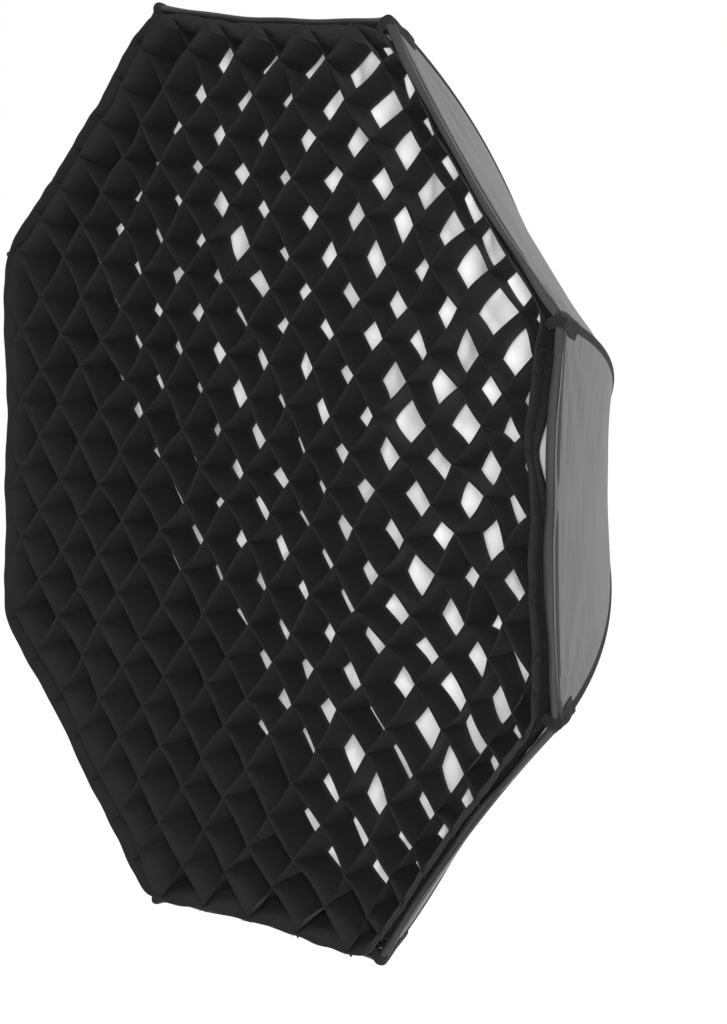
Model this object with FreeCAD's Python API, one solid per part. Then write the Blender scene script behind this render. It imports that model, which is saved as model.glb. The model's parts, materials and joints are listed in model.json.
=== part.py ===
"""Octagonal studio softbox with a fabric egg-crate grid, on a bayonet speed ring.

Millimetres, +Z up. The softbox opens towards -Y. The origin is the centre of the bayonet insert's
seating face, and the flash head leaves it along +Y. "Radius" is a distance from the Y axis, and
"apothem" is such a distance measured square to one of the eight flat sides.
Every piece of a side is built round +X and every piece of a ridge too, then turned into place.
"""

import math
import os

import FreeCAD
import Part
from FreeCAD import Vector

# Canopy
SIDES = 8
FLAT_WIDTH = 900.0  # across the flats of the opening, at the rod tips
DEPTH = 356.0  # from the seating face to the plane of the rod tips
RIDGE_BEND = 1073.0  # every ridge and its rod are bent to this radius
TIP_ANGLE = 35.8  # between a ridge and the Y axis, at the rod's tip
REAR_APOTHEM = 100.0  # rear opening round the speed ring
CLOTH = 0.8
TAPE_THICK = 1.2
TAPE_HALF_WIDTH = 12.0
POCKET_HALF_WIDTH = 17.0
POCKET_LENGTH = 40.0
BINDING_WIDTH = 13.0

# Lip and the hook-and-loop fastening of the two fronts, as distances behind the rod tips
LIP_DEPTH = 12.0
LIP_LEAN = 12.0
LIP_THICK = 1.7
GRID_FRONT = -20.0
GRID_REAR = 23.0
GRID_FRONT_APOTHEM = 433.5
GRID_REAR_APOTHEM = 427.0
GRID_TAPE_FRONT = -12.0
GRID_TAPE_REAR = 8.0
GRID_CELL = 51.8
GRID_WEB = 0.8
GRID_SHIFT_X = -11.0  # a crossing of the webs lies this far from the axis
GRID_SHIFT_Z = 4.0
HEM_THICK = 1.5
HOOK_THICK = 2.0
LOOP_THICK = 1.4
TAPE_GAP = 0.5
SEWING_GAP = 0.2
DIFFUSER_AT = 31.0
DIFFUSER_TAPE_WIDTH = 18.0
DIFFUSER_THICK = 0.8
CORNER_CUT = 10.0  # the fronts' corners are cut back this far, to pass the rods

# Rods
ROD_RADIUS = 2.5
ROD_INSET = 5.4  # rod's centre line below the ridge
ROD_REAR_RADIUS = 80.0
CAP_RADIUS = 3.9
CAP_LENGTH = 15.0
CAP_WALL = 3.0
CAP_SETBACK = 7.2  # from the ridge's end to the cap's, so that the cap stays behind the lip
FERRULE_RADIUS = 3.5
FERRULE_END_RADIUS = 104.0
KEEPER_RADIUS = 3.6
KEEPER_LENGTH = 36.0
KEEPER_PLACES = (190.0, 300.0, 420.0)  # radii of the ridge at which fabric loops hold the rod

# Inner baffle
BAFFLE_AT = 150.0  # behind the rod tips
BAFFLE_APOTHEM = 290.0
BAFFLE_THICK = 1.0
BAFFLE_HEM = 14.0
STRAP_WIDTH = 16.0
STRAP_THICK = 1.2
STRAP_LAP = 8.0  # sewn onto the baffle's corner
STRAP_GAP = 1.0  # short of the clip
CLIP_RADIUS = 4.0
CLIP_WIDTH = 10.0

# Speed ring and bayonet insert
RING_FRONT = -26.0
RING_REAR = -8.0
RING_RADIUS = 75.0
INSERT_RADIUS = 61.0
RING_CLEARANCE = 0.08
AXIAL_GAP = 0.2
BORE_RADIUS = 49.0
FLANGE_RADIUS = 66.0
RETAINER_INNER = 53.0
RETAINER_OUTER = 67.0
RETAINER_THICK = 3.0
RETAINER_SCREWS = 4
RETAINER_SCREW_CIRCLE = 57.0
RETAINER_SCREW_RADIUS = 2.0
RETAINER_SCREW_DEPTH = 10.0
RETAINER_HEAD_RADIUS = 3.6
RETAINER_HEAD = 2.2
LUGS = 3
LUG_INNER = 50.0
LUG_OUTER = 54.0
LUG_HOOK_OUTER = 60.0
LUG_HEIGHT = 12.0
LUG_HOOK_THICK = 4.5
LUG_ANGLE = 28.0

# Rod sockets, screwed to the ring's rim
SOCKET_RADIUS = 6.5
SOCKET_BORE = 3.7
SOCKET_AT = 88.0  # ridge radius where the socket's axis touches the rod's curve
SOCKET_INWARD = 17.0
SOCKET_OUTWARD = 12.0
SOCKET_BORE_DEPTH = 21.0
FOOT_THICK = 4.0
FOOT_HALF_WIDTH = 11.5
FOOT_FRONT = -25.0
FOOT_REAR = -9.0
FOOT_SCREW_AT = 8.8
FOOT_SCREW_RADIUS = 1.4
FOOT_SCREW_DEPTH = 7.0
FOOT_HEAD_RADIUS = 2.4
FOOT_HEAD = 1.6
FOOT_SCREW_Y = -12.5

# Fabric tabs that close the gap between the canopy and the ring
TAB_INNER = 69.5
TAB_BEND = 77.0
TAB_HALF_WIDTH = 18.0
TAB_SETBACK = 2.1  # the tab's outer edge butts on the inner face of the canopy
SNAP_RADIUS = 2.4
SNAP_AT = 72.2
SNAP_THICK = 1.6

# Lock screw at the top of the ring
LOCK_Y = -15.0
LOCK_RADIUS = 3.0
LOCK_RUNNING = 0.05
PAD_LENGTH = 4.0
PAD_GAP = 0.1
KNOB_FOOT = 77.0
KNOB_FOOT_RADIUS = 5.5
KNOB_BASE = 80.0
KNOB_RADIUS = 10.0
KNOB_HEIGHT = 18.0
KNOB_ROUNDING = 1.5
KNOB_SCALLOPS = 8
SCALLOP_RADIUS = 2.4

# Worked out from the dimensions above
HALF_TURN = 180.0 / SIDES
HALF = math.radians(HALF_TURN)
TIP_Y = -DEPTH
TIP_APOTHEM = FLAT_WIDTH / 2
TIP_RADIUS = TIP_APOTHEM / math.cos(HALF)
REAR_RADIUS = REAR_APOTHEM / math.cos(HALF)
BEND_R = TIP_RADIUS - RIDGE_BEND * math.cos(math.radians(TIP_ANGLE))
BEND_Y = TIP_Y - RIDGE_BEND * math.sin(math.radians(TIP_ANGLE))
FAR = 2 * FLAT_WIDTH
ORIGIN = Vector(0, 0, 0)
OUT = Vector(1, 0, 0)
REARWARD = Vector(0, 1, 0)
UP = Vector(0, 0, 1)


def save(name, *solids):
    """Writes one sub-part, which is one solid or a group of them."""
    shape = solids[0] if len(solids) == 1 else Part.makeCompound(list(solids))
    shape.exportStep(f"parts/{name}.step")


def turned(shape, degrees):
    """A copy of the shape turned about the softbox's axis, from +X towards +Z."""
    copy = shape.copy()
    copy.rotate(ORIGIN, Vector(0, -1, 0), degrees)
    return copy


def round_sides(shape):
    return [turned(shape, 2 * HALF_TURN * k) for k in range(SIDES)]


def round_ridges(shape):
    return [turned(shape, HALF_TURN + 2 * HALF_TURN * k) for k in range(SIDES)]


def ring(inner, outer, y_front, y_rear):
    """A plain ring about the Y axis."""
    base = Vector(0, y_front, 0)
    length = y_rear - y_front
    solid = Part.makeCylinder(outer, length, base, REARWARD)
    return solid.cut(Part.makeCylinder(inner, length, base, REARWARD))


def prism(outline, y_front, y_rear):
    """The (x, z) outline, drawn out along Y."""
    corners = [Vector(x, y_front, z) for x, z in outline]
    face = Part.Face(Part.makePolygon(corners + corners[:1]))
    return face.extrude(Vector(0, y_rear - y_front, 0))


def side_wedge(y_front, y_rear):
    """All that lies within half a side of +X."""
    spread = FAR * math.tan(HALF)
    return prism([(0, 0), (FAR, -spread), (FAR, spread)], y_front, y_rear)


def cut_octagon(apothem, cut):
    """Corners (x, z) of an octagon whose own corners are cut off square, the cut's depth inwards."""
    half_side = apothem * math.tan(HALF)
    end = half_side - cut / math.sin(HALF)
    corners = []
    for k in range(SIDES):
        turn = 2 * HALF * k
        for z in (-end, end):
            x_turned = apothem * math.cos(turn) - z * math.sin(turn)
            z_turned = apothem * math.sin(turn) + z * math.cos(turn)
            corners.append((x_turned, z_turned))
    return corners


def frustum(front_apothem, rear_apothem, y_front, y_rear):
    """A solid eight-sided plug with cut corners, between two planes."""
    wires = []
    for apothem, y in ((front_apothem, y_front), (rear_apothem, y_rear)):
        corners = [Vector(x, y, z) for x, z in cut_octagon(apothem, CORNER_CUT)]
        wires.append(Part.makePolygon(corners + corners[:1]))
    return Part.makeLoft(wires, True, True)


def band(front_apothem, rear_apothem, thickness, y_front, y_rear):
    """A strip of that thickness round an eight-sided plug, as eight solids that meet at mid-corner."""
    outer = frustum(front_apothem, rear_apothem, y_front, y_rear)
    inner = frustum(front_apothem - thickness, rear_apothem - thickness, y_front, y_rear)
    side = outer.cut(inner).common(side_wedge(y_front, y_rear))
    return round_sides(side)


def ridge_y(radius):
    """Where along Y a ridge is at a given radius."""
    return BEND_Y + math.sqrt(RIDGE_BEND**2 - (radius - BEND_R) ** 2)


def ridge_angle(radius):
    return math.degrees(math.acos((radius - BEND_R) / RIDGE_BEND))


# ---------------------------------------------------------------- canopy


def side_arc():
    """Centre and radius of the arc down the middle of a side, from the rear opening to the front."""
    radii = (REAR_RADIUS, (REAR_RADIUS + TIP_RADIUS) / 2, TIP_RADIUS)
    points = [Vector(r * math.cos(HALF), ridge_y(r), 0) for r in radii]
    circle = Part.Arc(*points).toShape().Curve
    return circle.Center, circle.Radius


SIDE_CENTRE, SIDE_BEND = side_arc()


def side_y(apothem):
    return SIDE_CENTRE.y + math.sqrt(SIDE_BEND**2 - (apothem - SIDE_CENTRE.x) ** 2)


def side_skin(inner, outer, y_front, y_rear):
    """A layer over one side, between two heights above its outer face, wider than the side."""
    tube = ring_about(SIDE_CENTRE, SIDE_BEND + inner, SIDE_BEND + outer)
    reach = FLAT_WIDTH / 2
    slab = prism([(0, -reach), (FAR, -reach), (FAR, reach), (0, reach)], y_front, y_rear)
    return tube.common(slab)


def ring_about(centre, inner, outer):
    """A long tube along Z about a centre, wide enough for a side."""
    base = Vector(centre.x, centre.y, -FLAT_WIDTH / 2)
    solid = Part.makeCylinder(outer, FLAT_WIDTH, base, UP)
    return solid.cut(Part.makeCylinder(inner, FLAT_WIDTH, base, UP))


def gore():
    return side_skin(-CLOTH, 0, TIP_Y, side_y(REAR_APOTHEM)).common(side_wedge(TIP_Y, 0))


def ridge_strip(inner, outer, half_width, y_front, y_rear):
    """A strip folded over the ridge at +X, between two heights above the canopy."""
    skin = side_skin(inner, outer, y_front, y_rear)
    halves = []
    for sign in (1, -1):
        outline = [(0, 0), (FAR, 0), (FAR, sign * half_width), (0, sign * half_width)]
        halves.append(turned(skin, sign * HALF_TURN).common(prism(outline, y_front, y_rear)))
    return halves[0].fuse(halves[1]).removeSplitter()


def ridge_tape():
    y_rear = side_y(REAR_APOTHEM + BINDING_WIDTH)
    return ridge_strip(0, TAPE_THICK, TAPE_HALF_WIDTH, TIP_Y, y_rear)


def corner_pocket():
    """A patch over the end of the tape, where the rod's tip pushes into the corner."""
    y_rear = TIP_Y + POCKET_LENGTH
    return ridge_strip(TAPE_THICK, 2 * TAPE_THICK, POCKET_HALF_WIDTH, TIP_Y, y_rear)


def rear_binding():
    """The bound edge of the rear opening."""
    y_front = side_y(REAR_APOTHEM + BINDING_WIDTH)
    y_rear = side_y(REAR_APOTHEM)
    skin = side_skin(0, TAPE_THICK, y_front, y_rear)
    return round_sides(skin.common(side_wedge(y_front, y_rear)))


def lip():
    """The front edge, leaning in from the rod tips, in one length for each side."""
    front = TIP_Y - LIP_DEPTH
    outline = [
        Vector(TIP_APOTHEM - LIP_LEAN, front, 0),
        Vector(TIP_APOTHEM, TIP_Y, 0),
        Vector(TIP_APOTHEM - LIP_THICK, TIP_Y, 0),
        Vector(TIP_APOTHEM - LIP_LEAN - LIP_THICK, front, 0),
    ]
    return round_sides(drawn_across(outline, FLAT_WIDTH / 2).common(side_wedge(front, TIP_Y)))


def drawn_across(outline, half_width):
    """An outline in the XY plane, drawn out both ways along Z."""
    moved = [point - Vector(0, 0, half_width) for point in outline]
    face = Part.Face(Part.makePolygon(moved + moved[:1]))
    return face.extrude(Vector(0, 0, 2 * half_width))


# ---------------------------------------------------------------- rods


def along_ridge(radius, start, end, inset=ROD_INSET):
    """A round bar bent to the ridge, between two radii of the ridge."""
    first = ridge_angle(start)
    bend = RIDGE_BEND - inset
    centre = Vector(BEND_R, BEND_Y, 0)
    toward = Vector(math.cos(math.radians(first)), math.sin(math.radians(first)), 0)
    tangent = Vector(-toward.y, toward.x, 0)
    section = Part.Face(Part.Wire(Part.makeCircle(radius, centre + toward * bend, tangent)))
    return section.revolve(centre, UP, ridge_angle(end) - first)


def radius_after(start, length):
    """The ridge radius reached by going that length down the ridge towards the tip."""
    angle = ridge_angle(start) - math.degrees(length / RIDGE_BEND)
    return BEND_R + RIDGE_BEND * math.cos(math.radians(angle))


CAP_TIP = radius_after(TIP_RADIUS, -CAP_SETBACK)
ROD_TIP = radius_after(CAP_TIP, -CAP_WALL)


def rod():
    return along_ridge(ROD_RADIUS, ROD_REAR_RADIUS, ROD_TIP)


def tip_cap():
    start = radius_after(CAP_TIP, -CAP_LENGTH)
    return along_ridge(CAP_RADIUS, start, CAP_TIP).cut(rod())


def ferrule():
    return along_ridge(FERRULE_RADIUS, ROD_REAR_RADIUS, FERRULE_END_RADIUS).cut(rod())


def loops(radius, width, places):
    """Short sleeves round one rod."""
    made = []
    for place in places:
        start = radius_after(place, -width / 2)
        end = radius_after(place, width / 2)
        made.append(along_ridge(radius, start, end).cut(rod()))
    return made


# ---------------------------------------------------------------- inner baffle


def baffle():
    y = TIP_Y + BAFFLE_AT
    corners = cut_octagon(BAFFLE_APOTHEM, 0)
    return prism(corners[::2], y, y + BAFFLE_THICK)


def baffle_hem():
    y = TIP_Y + BAFFLE_AT
    outer = prism(cut_octagon(BAFFLE_APOTHEM, 0)[::2], y - BAFFLE_THICK, y)
    inner = prism(cut_octagon(BAFFLE_APOTHEM - BAFFLE_HEM, 0)[::2], y - BAFFLE_THICK, y)
    hem = outer.cut(inner)
    return round_sides(hem.common(side_wedge(y - BAFFLE_THICK, y)))


def rod_radius_at(y, inset):
    """Radius, at that Y, of a line running that far under the ridge."""
    return BEND_R + math.sqrt((RIDGE_BEND - inset) ** 2 - (y - BEND_Y) ** 2)


BAFFLE_CLIP_AT = rod_radius_at(TIP_Y + BAFFLE_AT, 0)


def baffle_strap():
    """An elastic strap from the baffle's corner out to the clip on the rod."""
    y = TIP_Y + BAFFLE_AT
    corner = BAFFLE_APOTHEM / math.cos(HALF)
    outer = rod_radius_at(y - STRAP_THICK, ROD_INSET + CLIP_RADIUS) - STRAP_GAP
    half = STRAP_WIDTH / 2
    inner = corner - STRAP_LAP
    outline = [(inner, -half), (outer, -half), (outer, half), (inner, half)]
    return prism(outline, y - BAFFLE_THICK - STRAP_THICK, y - BAFFLE_THICK)


# ---------------------------------------------------------------- speed ring and its fittings


def insert():
    """The bayonet insert: sleeve, rear flange and three hooked lugs that lock into the flash head."""
    sleeve = ring(BORE_RADIUS, INSERT_RADIUS, RING_FRONT - AXIAL_GAP, 0)
    flange = ring(BORE_RADIUS, FLANGE_RADIUS, RING_REAR + AXIAL_GAP, 0)
    body = sleeve.fuse(flange)
    for k in range(LUGS):
        body = body.fuse(turned(lug(), 90 + 360 / LUGS * k))
    for fixing in retainer_screws():
        body = body.cut(fixing)
    return body.removeSplitter()


def sector(inner, outer, y_front, y_rear, angle):
    """Part of a ring, centred on +X."""
    places = ((inner, y_front), (outer, y_front), (outer, y_rear), (inner, y_rear))
    outline = [Vector(x, y, 0) for x, y in places]
    face = Part.Face(Part.makePolygon(outline + outline[:1]))
    face.rotate(ORIGIN, REARWARD, -angle / 2)
    return face.revolve(ORIGIN, REARWARD, angle)


def lug():
    stem = sector(LUG_INNER, LUG_OUTER, 0, LUG_HEIGHT, LUG_ANGLE)
    hook = sector(LUG_INNER, LUG_HOOK_OUTER, LUG_HEIGHT - LUG_HOOK_THICK, LUG_HEIGHT, LUG_ANGLE)
    return stem.fuse(hook)


def screw(base, direction, shank_radius, shank_length, head_radius, head_height):
    """A pan-head screw, its shank along the direction from the base and its head the other way."""
    shank = Part.makeCylinder(shank_radius, shank_length, base, direction)
    head = Part.makeCylinder(head_radius, head_height, base, -direction)
    slot_depth = head_height / 2
    slot_width = head_radius / 2.5
    slot = Part.makeBox(slot_width, 2 * head_radius, slot_depth)
    slot.translate(Vector(-slot_width / 2, -head_radius, -head_height))
    slot.Placement = FreeCAD.Placement(base, FreeCAD.Rotation(UP, direction)).multiply(slot.Placement)
    return shank.fuse(head).cut(slot)


def retainer_screw():
    front = RING_FRONT - AXIAL_GAP - RETAINER_THICK
    length = RETAINER_THICK + RETAINER_SCREW_DEPTH
    base = Vector(RETAINER_SCREW_CIRCLE, front, 0)
    return screw(base, REARWARD, RETAINER_SCREW_RADIUS, length, RETAINER_HEAD_RADIUS, RETAINER_HEAD)


def retainer_screws():
    return [turned(retainer_screw(), 45 + 360 / RETAINER_SCREWS * k) for k in range(RETAINER_SCREWS)]


def retaining_ring():
    """The plate on the insert's front end that keeps it in the speed ring."""
    rear = RING_FRONT - AXIAL_GAP
    plate = ring(RETAINER_INNER, RETAINER_OUTER, rear - RETAINER_THICK, rear)
    for fixing in retainer_screws():
        plate = plate.cut(fixing)
    return plate


def socket_line():
    """A point on the socket's axis and the axis's direction towards the rod's tip."""
    angle = math.radians(ridge_angle(SOCKET_AT))
    toward = Vector(math.cos(angle), math.sin(angle), 0)
    point = Vector(BEND_R, BEND_Y, 0) + toward * (RIDGE_BEND - ROD_INSET)
    return point, Vector(toward.y, -toward.x, 0)


def foot_screws():
    made = []
    for z in (-FOOT_SCREW_AT, FOOT_SCREW_AT):
        base = Vector(RING_RADIUS + FOOT_THICK, FOOT_SCREW_Y, z)
        length = FOOT_THICK + FOOT_SCREW_DEPTH
        made.append(screw(base, -OUT, FOOT_SCREW_RADIUS, length, FOOT_HEAD_RADIUS, FOOT_HEAD))
    return made


def rod_socket():
    """A tube on a foot that sits on the ring's rim."""
    point, direction = socket_line()
    start = point - direction * SOCKET_INWARD
    tube = Part.makeCylinder(SOCKET_RADIUS, SOCKET_INWARD + SOCKET_OUTWARD, start, direction)
    foot = Part.makeBox(FOOT_THICK * 2, FOOT_REAR - FOOT_FRONT, 2 * FOOT_HALF_WIDTH)
    foot.translate(Vector(RING_RADIUS - FOOT_THICK, FOOT_FRONT, -FOOT_HALF_WIDTH))
    bore_start = point + direction * (SOCKET_OUTWARD - SOCKET_BORE_DEPTH)
    bore = Part.makeCylinder(SOCKET_BORE, SOCKET_BORE_DEPTH + 1, bore_start, direction)
    solid = tube.fuse(foot).cut(rim_plug()).cut(bore)
    for fixing in foot_screws():
        solid = solid.cut(fixing)
    return solid


def rim_plug():
    return Part.makeCylinder(RING_RADIUS, DEPTH, Vector(0, -DEPTH / 2, 0), REARWARD)


def speed_ring():
    solid = ring(INSERT_RADIUS + RING_CLEARANCE, RING_RADIUS, RING_FRONT, RING_REAR)
    for fixing in foot_screws():
        for one in round_ridges(fixing):
            solid = solid.cut(one)
    hole = Part.makeCylinder(LOCK_RADIUS, RING_RADIUS, Vector(0, LOCK_Y, 0), UP)
    return solid.cut(hole)


def ring_tab():
    """A fabric tab from the canopy's rear edge to the front face of the ring."""
    rear = RING_FRONT
    outer = REAR_APOTHEM - TAB_SETBACK
    edge = side_y(REAR_APOTHEM)
    outline = [
        Vector(TAB_INNER, rear, 0),
        Vector(TAB_BEND, rear, 0),
        Vector(outer, edge, 0),
        Vector(outer, edge - TAPE_THICK, 0),
        Vector(TAB_BEND, rear - TAPE_THICK, 0),
        Vector(TAB_INNER, rear - TAPE_THICK, 0),
    ]
    return drawn_across(outline, TAB_HALF_WIDTH)


def tab_snap():
    base = Vector(SNAP_AT, RING_FRONT - TAPE_THICK, 0)
    return Part.makeCylinder(SNAP_RADIUS, SNAP_THICK, base, -REARWARD)


# ---------------------------------------------------------------- lock screw


def brake_pad():
    base = Vector(0, LOCK_Y, INSERT_RADIUS + PAD_GAP)
    return Part.makeCylinder(LOCK_RADIUS - LOCK_RUNNING, PAD_LENGTH, base, UP)


def lock_screw():
    foot = INSERT_RADIUS + PAD_LENGTH + 2 * PAD_GAP
    shank_base = Vector(0, LOCK_Y, foot)
    shank = Part.makeCylinder(LOCK_RADIUS - LOCK_RUNNING, KNOB_FOOT - foot, shank_base, UP)
    collar_base = Vector(0, LOCK_Y, KNOB_FOOT)
    collar = Part.makeCylinder(KNOB_FOOT_RADIUS, KNOB_BASE - KNOB_FOOT, collar_base, UP)
    return shank.fuse(collar)


def lock_knob():
    base = Vector(0, LOCK_Y, KNOB_BASE)
    knob = Part.makeCylinder(KNOB_RADIUS, KNOB_HEIGHT, base, UP)
    top = KNOB_BASE + KNOB_HEIGHT
    knob = knob.makeFillet(KNOB_ROUNDING, [edge for edge in knob.Edges if edge.BoundBox.ZMin > top - 0.1])
    for k in range(KNOB_SCALLOPS):
        turn = 2 * math.pi * k / KNOB_SCALLOPS
        reach = KNOB_RADIUS + SCALLOP_RADIUS / 2
        foot = base + Vector(reach * math.cos(turn), reach * math.sin(turn), 0)
        knob = knob.cut(Part.makeCylinder(SCALLOP_RADIUS, KNOB_HEIGHT, foot, UP))
    return knob


# ---------------------------------------------------------------- grid and diffuser


def grid_apothem(behind):
    """Outer apothem of the grid's hem at a distance behind the rod tips."""
    share = (behind - GRID_FRONT) / (GRID_REAR - GRID_FRONT)
    return GRID_FRONT_APOTHEM + share * (GRID_REAR_APOTHEM - GRID_FRONT_APOTHEM)


def grid_band(offset, thickness, front, rear):
    """A band outside the grid's hem, starting that far from it."""
    outer = [grid_apothem(behind) + offset + thickness for behind in (front, rear)]
    return band(outer[0], outer[1], thickness, TIP_Y + front, TIP_Y + rear)


def grid_cells():
    """Crossed webs with a square mesh set cornerwise, cut to the hem's inside."""
    y_front = TIP_Y + GRID_FRONT
    y_rear = TIP_Y + GRID_REAR
    pitch = GRID_CELL * math.sqrt(2)
    hole = (GRID_CELL - GRID_WEB) / math.sqrt(2)
    half_count = round(TIP_APOTHEM / pitch * 2)
    reach = (half_count + 2) * pitch / 2
    shift = Vector(GRID_SHIFT_X, y_front, GRID_SHIFT_Z)
    square = ((-reach, -reach), (reach, -reach), (reach, reach), (-reach, reach))
    edge = [Vector(x, 0, z) + shift for x, z in square]
    mesh_hole = ((hole, 0), (0, hole), (-hole, 0), (0, -hole))
    wires = [Part.makePolygon(edge + edge[:1])]
    for i in range(-half_count, half_count + 1):
        for j in range(-half_count, half_count + 1):
            if (i + j) % 2:
                centre = Vector(i * pitch / 2, 0, j * pitch / 2) + shift
                corners = [centre + Vector(x, 0, z) for x, z in mesh_hole]
                wires.append(Part.makePolygon(corners + corners[:1]))
    plate = Part.Face(wires, "Part::FaceMakerBullseye").extrude(Vector(0, y_rear - y_front, 0))
    inside = frustum(GRID_FRONT_APOTHEM - HEM_THICK, GRID_REAR_APOTHEM - HEM_THICK, y_front, y_rear)
    return plate.common(inside)


def canopy_inside(behind, gap):
    """Apothem inside the canopy, less a gap, at a distance behind the rod tips."""
    reach = math.sqrt(SIDE_BEND**2 - (TIP_Y + behind - SIDE_CENTRE.y) ** 2)
    slope = SIDE_BEND / reach
    return SIDE_CENTRE.x + reach - (CLOTH + gap) * slope


def diffuser_band(inset):
    """A tape round the diffuser's edge, that far inside the canopy's inner face."""
    rear = DIFFUSER_AT + DIFFUSER_TAPE_WIDTH
    outer = [canopy_inside(behind, SEWING_GAP) - inset for behind in (DIFFUSER_AT, rear)]
    return band(outer[0], outer[1], LOOP_THICK, TIP_Y + DIFFUSER_AT, TIP_Y + rear)


def diffuser():
    y_rear = TIP_Y + DIFFUSER_AT
    apothem = canopy_inside(DIFFUSER_AT, SEWING_GAP) - LOOP_THICK - TAPE_GAP
    return frustum(apothem, apothem, y_rear - DIFFUSER_THICK, y_rear)


# ---------------------------------------------------------------- sub-parts


def main():
    os.makedirs("parts", exist_ok=True)

    save("bayonet_insert", insert())
    save("insert_retaining_ring", retaining_ring())
    save("retainer_screws", *retainer_screws())

    save("speed_ring", speed_ring())
    save("rod_sockets", *round_ridges(rod_socket()))
    save("socket_screws", *[one for fixing in foot_screws() for one in round_ridges(fixing)])
    save("ring_tabs", *round_sides(ring_tab()))
    save("tab_snaps", *round_sides(tab_snap()))

    numbered = {
        "canopy_gore": round_sides(gore()),
        "rod": round_ridges(rod()),
        "ridge_tape": round_ridges(ridge_tape()),
        "corner_pocket": round_ridges(corner_pocket()),
    }
    for name, solids in numbered.items():
        for k, solid in enumerate(solids, 1):
            save(f"{name}_{k}", solid)

    save("rod_ferrules", *round_ridges(ferrule()))
    save("rod_tip_caps", *round_ridges(tip_cap()))
    save("rod_keepers", *[one for sleeve in loops(KEEPER_RADIUS, KEEPER_LENGTH, KEEPER_PLACES)
                          for one in round_ridges(sleeve)])
    save("rear_binding", *rear_binding())
    save("front_lip", *lip())
    save("grid_loop_tape", *grid_band(HOOK_THICK + TAPE_GAP, LOOP_THICK, GRID_TAPE_FRONT, GRID_TAPE_REAR))
    save("diffuser_loop_tape", *diffuser_band(0))

    save("inner_baffle", baffle())
    save("baffle_hem", *baffle_hem())
    save("baffle_straps", *round_ridges(baffle_strap()))
    clip = loops(CLIP_RADIUS, CLIP_WIDTH, (BAFFLE_CLIP_AT,))[0]
    save("baffle_clips", *round_ridges(clip))

    save("diffuser_panel", diffuser())
    save("diffuser_hook_tape", *diffuser_band(LOOP_THICK + TAPE_GAP))

    save("grid_cells", grid_cells())
    save("grid_hem", *grid_band(-HEM_THICK, HEM_THICK, GRID_FRONT, GRID_REAR))
    save("grid_hook_tape", *grid_band(0, HOOK_THICK, GRID_TAPE_FRONT, GRID_TAPE_REAR))

    save("brake_pad", brake_pad())
    save("lock_screw", lock_screw())
    save("lock_knob", lock_knob())


main()
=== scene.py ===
"""The looks of an octagonal studio softbox with an egg-crate grid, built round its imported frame.

Metres, +Z up; the softbox opens towards -Y. A side lies at a multiple of 45 degrees round the Y axis,
counted from +X towards +Z, and a ridge lies half way between two sides.
"""

import json
import math

import bpy
import numpy as np
from mathutils import Matrix, Vector


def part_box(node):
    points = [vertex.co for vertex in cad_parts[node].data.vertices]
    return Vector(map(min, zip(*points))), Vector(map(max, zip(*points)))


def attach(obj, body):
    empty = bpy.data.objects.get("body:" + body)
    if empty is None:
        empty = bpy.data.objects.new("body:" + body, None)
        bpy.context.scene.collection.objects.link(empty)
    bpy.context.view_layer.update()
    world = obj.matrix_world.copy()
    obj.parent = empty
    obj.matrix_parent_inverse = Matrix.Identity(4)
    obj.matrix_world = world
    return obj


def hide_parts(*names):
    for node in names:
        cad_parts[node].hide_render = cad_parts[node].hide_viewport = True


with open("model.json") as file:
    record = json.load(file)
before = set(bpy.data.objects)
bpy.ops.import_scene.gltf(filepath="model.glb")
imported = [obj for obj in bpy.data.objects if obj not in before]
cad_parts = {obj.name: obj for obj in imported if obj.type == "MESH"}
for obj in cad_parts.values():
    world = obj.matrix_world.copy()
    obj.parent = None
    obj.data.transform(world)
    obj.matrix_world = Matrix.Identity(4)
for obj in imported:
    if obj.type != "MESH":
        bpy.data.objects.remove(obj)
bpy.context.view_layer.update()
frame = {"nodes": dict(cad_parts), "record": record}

# -------------------- sizes

SIDES = 8
TURN = 2 * math.pi / SIDES
HALF = TURN / 2
RIDGE_BEND = 1.073  # radius of every ridge
TIP_ANGLE = math.radians(35.8)
SIDE_SAG = 0.043  # inward sag of a side at its middle, as a share of half its width
LIP_SAG = 0.052  # the same for the lip

GORE_LOW, GORE_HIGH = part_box("canopy_gore_1")
HEM_LOW, HEM_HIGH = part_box("grid_hem")
PANEL_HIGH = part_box("diffuser_panel")[1]
BAFFLE_LOW, BAFFLE_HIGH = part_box("inner_baffle")
TIP_Y = GORE_LOW.y
TIP_APOTHEM = GORE_HIGH.x
REAR_Y = GORE_HIGH.y
TIP_RADIUS = TIP_APOTHEM / math.cos(HALF)
BEND_R = TIP_RADIUS - RIDGE_BEND * math.cos(TIP_ANGLE)
BEND_Y = TIP_Y - RIDGE_BEND * math.sin(TIP_ANGLE)
REAR_ANGLE = math.asin((REAR_Y - BEND_Y) / RIDGE_BEND)
RIDGE_LENGTH = (REAR_ANGLE - TIP_ANGLE) * RIDGE_BEND
RING_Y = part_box("speed_ring")[0].y
GRID_CELL = 0.0518
GRID_STEP = GRID_CELL / math.sqrt(2)  # half a cell's diagonal
GRID_SHIFT = (-0.011, 0.004)
CORNER_CUT = 0.010  # how far the corners of the grid's hem and the diffuser are rounded off

SLEEVE_WIDTH = 0.024  # flat sizes, as cut
POCKET_FLAT = (0.029, 0.075)
LIP_FLAT = (0.035, 2.98)
BINDING_FLAT = (0.030, 0.70)
TAB_FLAT = (0.036, 0.034)
KEEPER_FLAT = (0.030, 0.036)
BAFFLE_WIDTH = 0.58
BAFFLE_EDGE_FLAT = (0.042, 1.93)
STRAP_WIDTH = 0.016
WEB_WIDTH = 0.043
HEM_WIDTH = 0.044
HOOK_TAPE_WIDTH = 0.021
TAPE_WIDTH = 0.0185

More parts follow.
